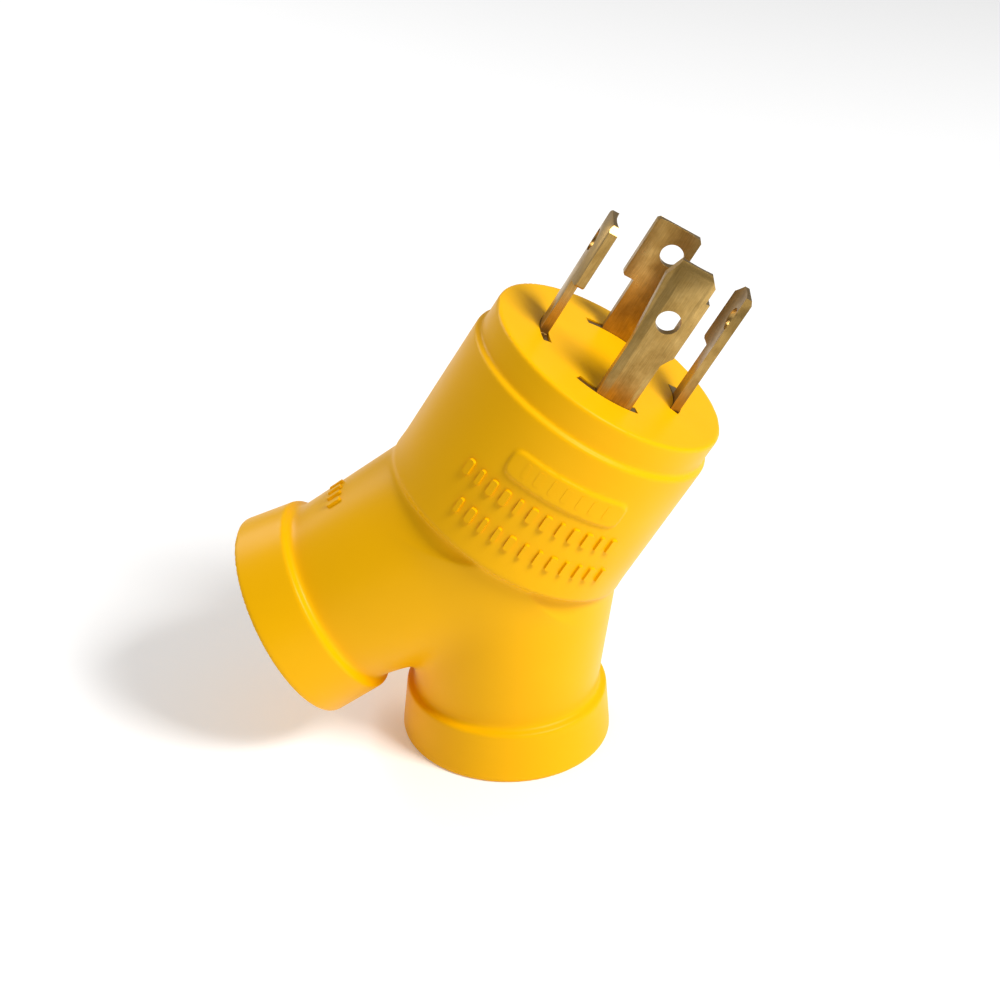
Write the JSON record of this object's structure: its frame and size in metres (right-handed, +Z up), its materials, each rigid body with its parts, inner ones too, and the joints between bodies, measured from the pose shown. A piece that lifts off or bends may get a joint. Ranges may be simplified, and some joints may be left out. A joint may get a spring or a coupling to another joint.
{
  "type": "power adapter",
  "caption": "Rigid Y-shaped power adapter: a locking plug with curved hooked blades feeds straight-blade outlets in the ends of two legs.",
  "frame": {"origin": "centre of outlet B's face, which the adapter stands on", "axes": "+Z up along leg B's axis; leg A leans to -X and the plug leans to +X, with all three axes in the XZ plane; +Y across the body"},
  "size_m": [0.0901, 0.0468, 0.103],
  "materials": {
    "jacket_pvc": "bright yellow moulded PVC, fine satin gloss",
    "outlet_nylon": "yellow moulded nylon, satin",
    "insert_nylon": "natural moulded nylon",
    "premould_pvc": "dark grey inner moulding",
    "blade_brass": "rolled brass, tarnished and lightly scratched",
    "contact_brass": "rolled brass strip, as stamped",
    "wire_copper": "bare stranded copper",
    "insulation_black": "black PVC insulation",
    "insulation_red": "red PVC insulation",
    "insulation_white": "white PVC insulation",
    "insulation_green": "green PVC insulation"
  },
  "bodies": {
    "root": {"overmould_jacket": "jacket_pvc", "inner_premould": "premould_pvc", "blade_carrier": "insert_nylon", "blade_retainer": "insert_nylon", "hot_x_blade": "blade_brass", "hot_y_blade": "blade_brass", "neutral_blade": "blade_brass", "ground_blade": "blade_brass", "outlet_a_front_carrier": "outlet_nylon", "outlet_a_rear_cover": "outlet_nylon", "outlet_a_hot_contact": "contact_brass", "outlet_a_neutral_contact": "contact_brass", "outlet_a_ground_contact": "contact_brass", "outlet_b_front_carrier": "outlet_nylon", "outlet_b_rear_cover": "outlet_nylon", "outlet_b_hot_contact": "contact_brass", "outlet_b_neutral_contact": "contact_brass", "outlet_b_ground_contact": "contact_brass", "hot_x_wire_a": "insulation_black", "hot_x_wire_a_core": "wire_copper", "hot_y_wire_b": "insulation_red", "hot_y_wire_b_core": "wire_copper", "neutral_wire_a": "insulation_white", "neutral_wire_a_core": "wire_copper", "neutral_wire_b": "insulation_white", "neutral_wire_b_core": "wire_copper", "ground_wire_a": "insulation_green", "ground_wire_a_core": "wire_copper", "ground_wire_b": "insulation_green", "ground_wire_b_core": "wire_copper"}
  },
  "joints": []
}
